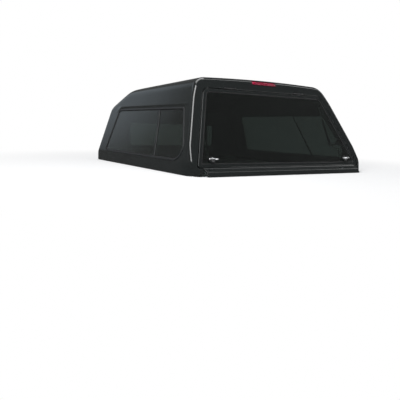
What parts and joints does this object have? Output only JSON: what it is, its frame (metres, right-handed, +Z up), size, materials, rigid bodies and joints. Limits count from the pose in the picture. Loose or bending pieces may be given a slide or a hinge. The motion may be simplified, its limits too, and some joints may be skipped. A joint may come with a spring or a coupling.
{
  "type": "pickup truck canopy",
  "caption": "Moulded canopy for a pickup bed with a raked lift-up glass rear door on gas struts, sliding side windows and a high-level brake light.",
  "frame": {"origin": "middle of the outline on the plane where the rail seal rests", "axes": "+X to the right side, +Y towards the cab, +Z up"},
  "size_m": [1.754, 1.9396, 0.749],
  "materials": {
    "gelcoat": "gloss black gelcoat",
    "black_frame": "satin black powder coat",
    "black_plastic": "moulded",
    "tinted_glass": "dark tint",
    "rubber": "matt",
    "chrome": "polished",
    "bright_steel": "ground",
    "steel": "zinc plated",
    "red_lens": "clear red moulding"
  },
  "bodies": {
    "canopy_shell": {"brake_light_housing": "black_plastic", "brake_light_lens": "red_lens", "door_seal": "rubber", "front_window_clamp": "black_frame", "front_window_frame": "black_frame", "front_window_gasket": "rubber", "front_window_glass": "tinted_glass", "left_front_pane": "tinted_glass", "left_hinge_shell_leaf": "black_frame", "left_slider_pane": "tinted_glass", "left_strut_shell_bracket": "steel", "left_window_clamp": "black_frame", "left_window_divider": "black_frame", "left_window_frame": "black_frame", "left_window_gasket": "rubber", "rail_seal": "rubber", "right_front_pane": "tinted_glass", "right_hinge_shell_leaf": "black_frame", "right_slider_pane": "tinted_glass", "right_strut_shell_bracket": "steel", "right_window_clamp": "black_frame", "right_window_divider": "black_frame", "right_window_frame": "black_frame", "right_window_gasket": "rubber", "shell": "gelcoat"},
    "rear_door": {"door_frame": "gelcoat", "door_gasket": "rubber", "door_glass": "tinted_glass", "door_skirt": "gelcoat", "left_handle_escutcheon": "black_frame", "left_hinge_door_leaf": "black_frame", "left_strut_door_bracket": "steel", "right_handle_escutcheon": "black_frame", "right_hinge_door_leaf": "black_frame", "right_strut_door_bracket": "steel", "tailgate_seal": "rubber"},
    "left_handle_turn": {"left_handle": "chrome", "left_pawl": "steel"},
    "right_handle_turn": {"right_handle": "chrome", "right_pawl": "steel"},
    "left_strut_cylinder": {"left_strut_tube": "black_frame"},
    "right_strut_cylinder": {"right_strut_tube": "black_frame"},
    "left_strut_piston": {"left_strut_rod": "bright_steel"},
    "right_strut_piston": {"right_strut_rod": "bright_steel"}
  },
  "joints": [
    {"name": "rear_door_lift", "type": "hinge", "parent": "canopy_shell", "child": "rear_door", "pos_m": [0, -0.6065, 0.655], "axis": [-1, 0, 0], "range_deg": [0, 72]},
    {"name": "left_handle_rotate", "type": "hinge", "parent": "rear_door", "child": "left_handle_turn", "pos_m": [-0.685, -0.87662, 0.11477], "axis": [0, -0.8944, 0.4472], "range_deg": [0, 90]},
    {"name": "right_handle_rotate", "type": "hinge", "parent": "rear_door", "child": "right_handle_turn", "pos_m": [0.685, -0.87662, 0.11477], "axis": [0, 0.8944, -0.4472], "range_deg": [0, 90]},
    {"name": "left_strut_swing", "type": "hinge", "parent": "canopy_shell", "child": "left_strut_cylinder", "pos_m": [-0.648, -0.72725, 0.22344], "axis": [1, 0, 0], "range_deg": [0, 15.7]},
    {"name": "right_strut_swing", "type": "hinge", "parent": "canopy_shell", "child": "right_strut_cylinder", "pos_m": [0.648, -0.72725, 0.22344], "axis": [1, 0, 0], "range_deg": [0, 15.7]},
    {"name": "left_strut_stroke", "type": "slide", "parent": "left_strut_cylinder", "child": "left_strut_piston", "axis": [0.143, 0.3261, 0.9344], "range_m": [0, 0.0541]},
    {"name": "right_strut_stroke", "type": "slide", "parent": "right_strut_cylinder", "child": "right_strut_piston", "axis": [-0.143, 0.3261, 0.9344], "range_m": [0, 0.0541]}
  ],
  "couplings": [
    {"joint": "left_strut_swing", "follows": "rear_door_lift", "ratio": 0.21664},
    {"joint": "right_strut_swing", "follows": "rear_door_lift", "ratio": 0.21664},
    {"joint": "left_strut_stroke", "follows": "rear_door_lift", "m_per_rad": 0.042896},
    {"joint": "right_strut_stroke", "follows": "rear_door_lift", "m_per_rad": 0.042896}
  ]
}
